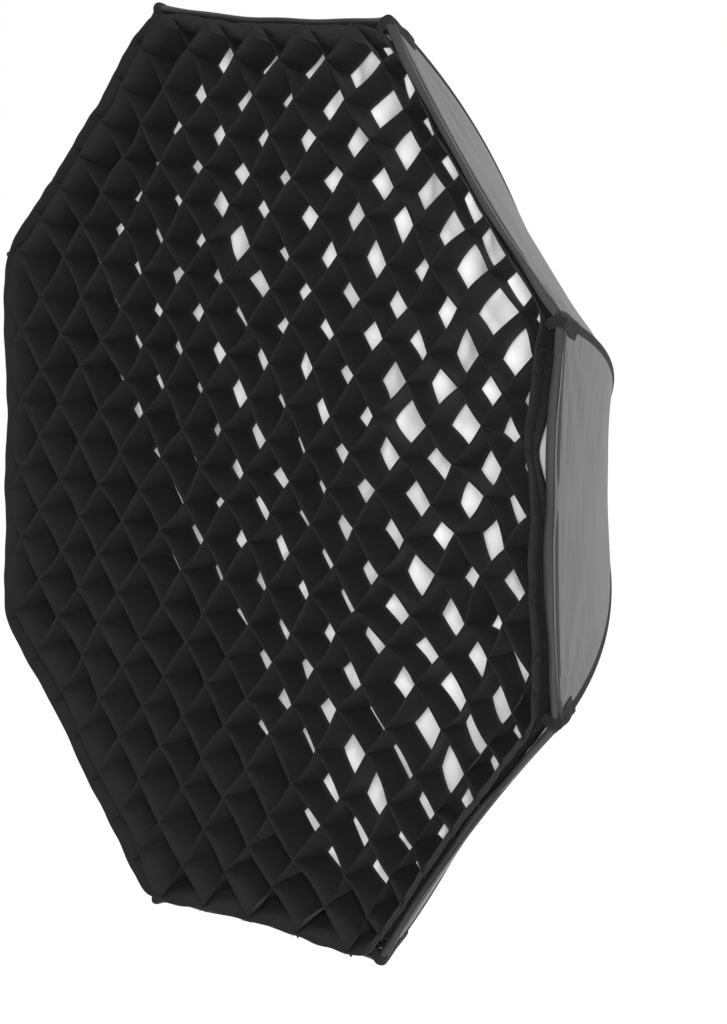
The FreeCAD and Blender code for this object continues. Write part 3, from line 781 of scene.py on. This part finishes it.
GRID_FRONT = HEM_LOW.y - 0.003
GRID_REAR = HEM_HIGH.y
GRID_FRONT_APOTHEM = 0.4375
GRID_REAR_APOTHEM = 0.4270
LEAN_WAY = math.radians(25)  # the way the rear of the webs leans
OPEN_WAY = math.radians(36)  # the way along which that lean grows
WEB_ROWS = 10  # rows of points from one crossing to the next
HEM_COUNT = 72  # places across a side
FRONT_PULLS = (  # place, reach and how far the whole depth of the grid is dragged there
    ((0.16, 0.04), 0.15, (-0.013, -0.004)),
    ((0.31, -0.20), 0.12, (0.020, 0.003)),
    ((0.20, 0.37), 0.11, (0.013, 0.001)),
    ((0.17, -0.42), 0.13, (0.018, -0.011)),
    ((-0.28, 0.18), 0.12, (0.009, 0.003)),
    ((0.37, -0.04), 0.09, (0.003, 0.009)),
    ((0.435, 0.075), 0.035, (-0.012, 0.000)),
)
HEM_FLARE = (0.000, 0.006, 0.010, 0.007, 0.004, 0.007, 0.0095, 0.010)  # its front turns out, by side
HEM_HOLD = (0.25, 1.0, 0.8, 0.4, 0.4, 0.4, 0.6, 0.6)  # how far its rear keeps to the canopy, by side
HEM_SINK = (0.0, 0.014, 0.008, 0.0, 0.0, 0.0, 0.0, 0.0)  # how far its front is drawn back, by side
REAR_PULLS = (  # as FRONT_PULLS, for the rear edge alone
    ((0.435, 0.055), 0.036, (-0.018, 0.000)),
    ((0.22, 0.08), 0.040, (-0.014, -0.006)),
    ((-0.06, 0.21), 0.035, (-0.016, 0.004)),
)


def octagon_reach(x, z):
    """Apothem of the octagon that passes through a point."""
    return np.max([x * math.cos(k * TURN) + z * math.sin(k * TURN) for k in range(SIDES)], axis=0)


def dragged(x, z, pulls):
    """How far a list of pulls moves the cloth at (x, z)."""
    dx, dz = 0.0 * x, 0.0 * z
    for (at_x, at_z), reach, (move_x, move_z) in pulls:
        weight = np.exp(-((x - at_x) ** 2 + (z - at_z) ** 2) / reach**2)
        dx, dz = dx + weight * move_x, dz + weight * move_z
    return dx, dz


def grid_move(x, z, share):
    """How far the grid's cloth has moved from a regular mesh; share runs from its front to its rear."""
    dx, dz = dragged(x, z, FRONT_PULLS)
    dx = dx + 0.0030 * waves(x, z, 1, 0.19)
    dz = dz + 0.0030 * waves(x, z, 2, 0.17)
    sag_x, sag_z, hold = 0.0 * x, 0.0 * z, 0.0 * x
    flare = 1 - smooth(share, 0.02, 0.26)
    half_width = GRID_FRONT_APOTHEM * math.tan(HALF)
    for side in range(SIDES):
        out_x, out_z = math.cos(side * TURN), math.sin(side * TURN)
        apothem = x * out_x + z * out_z
        across = (z * out_x - x * out_z) / half_width
        near = smooth(apothem, GRID_FRONT_APOTHEM - 0.07, GRID_FRONT_APOTHEM)
        near = near * smooth(1.08 - np.abs(across), 0.0, 0.16)
        away = (dx * out_x + dz * out_z) * near * (0.75 if side else 0.35)
        dx, dz = dx - away * out_x, dz - away * out_z
        inward = 0.0085 * np.clip(1 - across**2, 0, 1) * near
        inward = inward - HEM_FLARE[side] * flare * near
        sag_x, sag_z = sag_x - inward * out_x, sag_z - inward * out_z
        hold = hold + HEM_HOLD[side] * near
    along = x * math.cos(OPEN_WAY) + z * math.sin(OPEN_WAY)
    lean = 0.0225 * smooth(along, -0.44, -0.02) - 0.0138 + 0.006 * smooth(along, 0.15, 0.46)
    lean = lean * (1 - np.clip(hold, 0, 1))
    rear_x, rear_z = dragged(x, z, REAR_PULLS)
    dx = dx + sag_x + share * (rear_x - lean * math.cos(LEAN_WAY))
    dz = dz + sag_z + share * (rear_z - lean * math.sin(LEAN_WAY))
    return dx, dz


def grid_y(x, z, share):
    """Y of the grid's cloth: its front edge is a little uneven, and drawn back along some sides."""
    uneven = 0.0016 * waves(x, z, 6, 0.12)
    half_width = GRID_FRONT_APOTHEM * math.tan(HALF)
    for side in range(SIDES):
        out_x, out_z = math.cos(side * TURN), math.sin(side * TURN)
        across = (z * out_x - x * out_z) / half_width
        near = smooth(x * out_x + z * out_z, GRID_FRONT_APOTHEM - 0.08, GRID_FRONT_APOTHEM)
        uneven = uneven + HEM_SINK[side] * near * smooth(1.16 - np.abs(across), 0.0, 0.32)
    return GRID_FRONT + 0.0025 + uneven * (1 - share) + share * (GRID_REAR - GRID_FRONT - 0.003)


def crossing(i, j, share):
    """Place of the crossing (i, j) of the ribbons."""
    x = GRID_SHIFT[0] + i * GRID_STEP
    z = GRID_SHIFT[1] + j * GRID_STEP
    loose = 0.0030 + 0.0026 * smooth(x - 0.5 * z, 0.0, 0.4)
    ragged = []
    for way in range(2):
        front = chance(i, j, way + 1) - 0.5
        rear = chance(i, j, way + 5) - 0.5
        ragged.append(2 * loose * (front + share * (0.9 * rear - 0.2 * front)))
    inside = smooth(GRID_FRONT_APOTHEM - octagon_reach(x, z), 0.005, 0.05)
    return x + ragged[0] * inside, z + ragged[1] * inside


def ribbon(way, number):
    """One web of the grid, from hem to hem: way is +1 if it climbs towards +X, and -1 if it falls."""
    reach = int(GRID_FRONT_APOTHEM * 1.5 / GRID_STEP) + 2
    nodes = [(i, way * i + 2 * number) for i in np.arange(-2 * reach, 2 * reach)]
    share = np.linspace(0, 1, 8)[None, :]
    shapes = ((1 - share) ** 2, 2 * share * (1 - share) * 1.6, share**2 * 1.6)  # front, middle, rear
    t = (np.arange(WEB_ROWS) / WEB_ROWS)[:, None]
    arch = np.sin(math.pi * t)
    rows_x, rows_z, curve = [], [], []
    for node, following in zip(nodes, nodes[1:]):
        start, end = crossing(*node, share), crossing(*following, share)
        bow = sum((chance(*node, way + 11 + n) - 0.5) * shape for n, shape in enumerate(shapes))
        x = start[0] * (1 - t) + end[0] * t
        z = start[1] * (1 - t) + end[1] * t
        loose = 0.0044 + 0.0044 * smooth(x.mean() - 0.4 * z.mean(), 0.1, 0.4)
        bend = loose * bow * arch
        rows_x.append(x - way * bend * math.sqrt(0.5))
        rows_z.append(z + bend * math.sqrt(0.5))
        curve.append(arch * (chance(*node, way + 31) - 0.3) + 0 * share)
    x, z, curve = (np.concatenate(rows) for rows in (rows_x, rows_z, curve))
    inside = octagon_reach(x[:, 0], z[:, 0]) < GRID_FRONT_APOTHEM - 0.0004
    kept = np.flatnonzero(inside)
    if len(kept) < 6:
        return None
    x, z, curve = (rows[kept[0]:kept[-1] + 1] for rows in (x, z, curve))
    x, z = ribbon_ends(x, z)
    curve = np.concatenate([curve[:1], curve, curve[-1:]])
    dx, dz = grid_move(x, z, share)
    y = grid_y(x, z, share) + 0.0022 * curve * (1 - share) ** 3
    narrowing = share * (1 - GRID_REAR_APOTHEM / GRID_FRONT_APOTHEM)
    taper = 1 - narrowing * smooth(octagon_reach(x, z), 0.2, GRID_FRONT_APOTHEM)
    return np.stack([x * taper + dx, y, z * taper + dz], -1)


def ribbon_ends(x, z):
    """Runs both ends of a ribbon on to the hem's outer face, where they are sewn in."""
    ends = []
    for last, before in ((0, 1), (-1, -2)):
        step_x, step_z = x[last] - x[before], z[last] - z[before]
        reach = octagon_reach(x[last], z[last])
        gain = np.maximum(octagon_reach(x[last] + step_x, z[last] + step_z) - reach, 1e-5)
        radius = np.hypot(x[last], z[last]) / GRID_FRONT_APOTHEM
        corner = smooth(radius, 1.035, 1.06)
        poke = 0.0034 * (1 - corner) * (1 - smooth(np.linspace(0, 1, len(reach)), 0.05, 0.35))
        more = np.clip((GRID_FRONT_APOTHEM + poke - reach) / gain, 0, 3)
        ends.append((x[last] + step_x * more, z[last] + step_z * more))
    x = np.concatenate([ends[0][0][None], x, ends[1][0][None]])
    z = np.concatenate([ends[0][1][None], z, ends[1][1][None]])
    return x, z


def hem_sheet(outward, front, rear, columns):
    """A band of the grid's hem between two shares of its depth, that far outside its middle."""

    def profile(side, across):
        share = np.linspace(front, rear, columns)[None, :]
        apothem = GRID_FRONT_APOTHEM + (GRID_REAR_APOTHEM - GRID_FRONT_APOTHEM) * share + outward
        return apothem + 0 * across, share + 0 * across

    points = round_band(profile, HEM_COUNT)
    share = points[..., 1].copy()
    points = soften_corners(points, GRID_FRONT_APOTHEM / math.cos(HALF) - CORNER_CUT)
    x, z = points[..., 0], points[..., 2]
    dx, dz = grid_move(x, z, share)
    lumps = 0.0009 * waves(x, z, 8, 0.037)
    size = np.hypot(x, z)
    dx, dz = dx + lumps * x / size, dz + lumps * z / size
    return np.stack([x + dx, grid_y(x, z, share) - 0.0012 * (1 - share), z + dz], -1)


def grid():
    """The webs, the hem round them and the hook tape on the hem."""
    sheets = [ribbon(way, number) for way in (1, -1) for number in range(-14, 15)]
    sheets = [sheet for sheet in sheets if sheet is not None]
    obj = cloth_object("grid_ribbons", sheets, GRID_CLOTH)
    thicken(obj, WEB_THICK, BOTH_WAYS)
    place(obj, "grid", "grid_cloth", "grid_cells")
    hem = hem_sheet(outward=-0.0004, front=-0.03, rear=1.0, columns=14)
    band = cloth_object("grid_edge", [hem], GRID_CLOTH, closed=True)
    thicken(band, HEM_THICK, BOTH_WAYS)
    place(band, "grid", "grid_cloth", "grid_hem")
    hook_rows = hem_sheet(outward=0.0010, front=0.40, rear=0.84, columns=9)
    tape = cloth_object("grid_hook_band", [hook_rows], HOOK, closed=True)
    thicken(tape, HOOK_TAPE_THICK, BOTH_WAYS)
    place(tape, "grid", "hook_tape", "grid_hook_tape")
    length = 16 * GRID_FRONT_APOTHEM * math.tan(HALF)
    web_length = sum(len(sheet) for sheet in sheets) * GRID_CELL / WEB_ROWS
    declare(band, (HEM_WIDTH, length))
    declare(tape, (HOOK_TAPE_WIDTH, length))
    declare(obj, (WEB_WIDTH, web_length))
    seams = []
    for side in range(SIDES):
        rows = hem[side * HEM_COUNT:(side + 1) * HEM_COUNT]
        seams += [(rows[:, 1], side_out(side)), (rows[:, 2], side_out(side))]
    stitches("grid_stitches", seams, "grid", "grid_cloth")


grid()


# -------------------- diffuser and front tapes


def inside_canopy(y, inward):
    """Apothem that far inside the canopy's outer face, on the straight chord between two ridges."""
    reach = np.sqrt(RIDGE_BEND**2 - (y - BEND_Y) ** 2)
    return (BEND_R + reach) * math.cos(HALF) - inward * RIDGE_BEND / reach


def tape(name, ys, inward, share, material, slot, body, node):
    """A tape that runs round inside the canopy and sags with its sides by a share of their width."""

    def profile(side, across):
        y = np.linspace(ys[0], ys[1], 7)[None, :]
        apothem = inside_canopy(y, inward)
        drop = sag(across, apothem * math.tan(HALF), share)
        drop = drop + 0.0004 * waves(across * 0.18, y, side + 9, 0.06)
        return apothem - drop, y + 0 * across

    points = soften_corners(round_band(profile, 48), TIP_RADIUS - 0.012 - inward)
    obj = cloth_object(name, [points], material, closed=True)
    thicken(obj, TAPE_THICK, BOTH_WAYS)
    return place(obj, body, slot, node)


def wrinkled(points):
    """Lets a sheet that is pinned along its rim, and cut a little too large, settle into wrinkles."""
    too_large, steps = 0.030, 35
    rows, columns = points.shape[:2]
    mesh = bpy.data.meshes.new("settling")
    mesh.from_pydata([tuple(p) for p in points.reshape(-1, 3)], [], quads(rows, columns, True))
    obj = bpy.data.objects.new("settling", mesh)
    bpy.context.scene.collection.objects.link(obj)
    pins = obj.vertex_groups.new(name="pins")
    pins.add([r * columns + columns - 1 for r in range(rows)], 1.0, "REPLACE")
    cloth = obj.modifiers.new("cloth", "CLOTH")
    settings = cloth.settings
    settings.quality = 6
    settings.mass = 0.12
    settings.tension_stiffness = 30
    settings.compression_stiffness = 30
    settings.shear_stiffness = 12
    settings.bending_stiffness = 0.03
    settings.air_damping = 4
    settings.vertex_group_mass = "pins"
    settings.shrink_min = -too_large
    settings.shrink_max = -too_large
    settings.effector_weights.gravity = 0.15
    cloth.collision_settings.use_collision = False
    cloth.collision_settings.use_self_collision = False
    scene = bpy.context.scene
    for step in range(steps):
        scene.frame_set(step + 1)
    moved = obj.evaluated_get(bpy.context.evaluated_depsgraph_get()).to_mesh()
    settled = np.empty(len(moved.vertices) * 3, np.float32)
    moved.vertices.foreach_get("co", settled)
    settled = settled.reshape(points.shape).astype(float)
    bpy.data.objects.remove(obj)
    scene.frame_set(1)
    return settled


def diffuser():
    """The white front: held all round by its tape, wrinkled, and bellied a little to the rear."""
    deepest_wrinkle = 0.0065
    rim = PANEL_HIGH.x - 0.001
    y_face = PANEL_HIGH.y - 0.0004
    share = np.linspace(0.02, 1.0, 72)[None, :]
    across = np.linspace(-1, 1, 28, endpoint=False)[:, None]
    reach = share * (rim - sag(across, rim * math.tan(HALF)))
    rows = [polar(reach, y_face, side * TURN, across * reach * math.tan(HALF)) for side in range(SIDES)]
    points = soften_corners(np.concatenate(rows), rim / math.cos(HALF) - CORNER_CUT)
    inner = smooth(1 - share, 0.0, 0.06)
    points[..., 1] += 0.0010 * waves(points[..., 0], points[..., 2], 3, 0.085) * inner
    points = wrinkled(points)
    lift = points[..., 1] - y_face
    points[..., 1] = y_face + deepest_wrinkle * np.tanh(lift / deepest_wrinkle)
    points[..., 1] += 0.0075 * smooth(1 - share, 0.0, 0.25)
    obj = cloth_object("diffuser_sheet", [points], DIFFUSER_CLOTH, closed=True)
    obj.modifiers.new("finer", "SUBSURF").render_levels = 1
    thicken(obj, DIFFUSER_THICK, BOTH_WAYS)
    place(obj, "diffuser", "diffuser_cloth", "diffuser_panel")
    return obj


def fronts():
    """The diffuser, and the tapes that hold it and the grid inside the canopy."""
    grid_ys = (TIP_Y + 0.001, TIP_Y + 0.016)
    ys = (PANEL_HIGH.y - 0.0002, PANEL_HIGH.y + 0.0150)
    grid_loop = tape("grid_loop_band", grid_ys, 0.0022, LIP_SAG, LOOP, "loop_tape",
                     "softbox", "grid_loop_tape")
    loop = tape("diffuser_loop_band", ys, 0.0020, SIDE_SAG, LOOP, "loop_tape",
                "softbox", "diffuser_loop_tape")
    hook = tape("diffuser_hook_band", ys, 0.0040, SIDE_SAG, HOOK, "hook_tape",
                "diffuser", "diffuser_hook_tape")
    sheet = diffuser()
    length = 16 * PANEL_HIGH.x * math.tan(HALF)
    declare(grid_loop, (TAPE_WIDTH, 16 * TIP_APOTHEM * math.tan(HALF)))
    declare(loop, (TAPE_WIDTH, length))
    declare(hook, (TAPE_WIDTH, length))


fronts()


# -------------------- finishes of the parts made in CAD


def finish_parts():
    """Gives every part of the CAD model that is still shown the finish of its slot."""
    for part in frame["record"]["subparts"]:
        node = frame["nodes"][part["node"]]
        finish = CAD_FINISHES.get(part["material_slot"])
        if finish and not node.hide_render:
            node.data.materials.clear()
            node.data.materials.append(finish)


finish_parts()


# -------------------- stage, light and camera


FLOOR_Z = -1.3
LIT_POINT = Vector((0, -0.2, 0))
LIGHTS = (  # name, place, size, watts
    ("key", (3.05, -2.62, 0.58), 0.7, 105),
    ("top", (0.8, -1.6, 3.2), 1.6, 30),
    ("side", (2.6, 1.2, 2.4), 1.2, 70),
)
SKY_STRENGTH = 1.03
LENS = 197.2
SENSOR_WIDTH = 36
CAMERA_PLACE = Vector((4.384, TIP_Y - 3.205, 0.641))
CAMERA_AHEAD = Vector((-0.7912, 0.5989, -0.1236))
CAMERA_ROLL = math.radians(0.37)


def stage():
    """A pale floor, a white sky and three soft lights."""
    bpy.ops.mesh.primitive_plane_add(size=400, location=(0, 0, FLOOR_Z))
    floor = bpy.context.object
    floor.name = "floor"
    made = Shader("pale_floor", 0.9)
    made.paint(made.ramp(made.noise(0.4, 1.0), (0.3, 0.965), (0.7, 0.975)))
    floor.data.materials.append(made.material)
    world = bpy.data.worlds.new("studio")
    bpy.context.scene.world = world
    world.use_nodes = True
    sky = world.node_tree.nodes["Background"]
    sky.inputs["Color"].default_value = (1, 1, 1, 1)
    sky.inputs["Strength"].default_value = SKY_STRENGTH
    for name, spot, size, power in LIGHTS:
        data = bpy.data.lights.new(name, "AREA")
        data.size = size
        data.energy = power
        light = bpy.data.objects.new(name, data)
        light.location = spot
        light.rotation_euler = (LIT_POINT - Vector(spot)).to_track_quat("-Z", "Y").to_euler()
        bpy.context.scene.collection.objects.link(light)


def camera():
    """A long lens from the front right, a little above the softbox."""
    data = bpy.data.cameras.new("camera")
    data.lens = LENS
    data.sensor_width = SENSOR_WIDTH
    data.clip_end = 500
    obj = bpy.data.objects.new("camera", data)
    bpy.context.scene.collection.objects.link(obj)
    ahead = CAMERA_AHEAD.normalized()
    level = ahead.cross(Vector((0, 0, 1))).normalized()
    right = level * math.cos(CAMERA_ROLL) + level.cross(ahead) * math.sin(CAMERA_ROLL)
    up = right.cross(ahead)
    obj.matrix_world = Matrix((
        (right.x, up.x, -ahead.x, CAMERA_PLACE.x),
        (right.y, up.y, -ahead.y, CAMERA_PLACE.y),
        (right.z, up.z, -ahead.z, CAMERA_PLACE.z),
        (0, 0, 0, 1),
    ))
    bpy.context.scene.camera = obj


stage()
camera()
bpy.context.scene.view_settings.view_transform = "Standard"
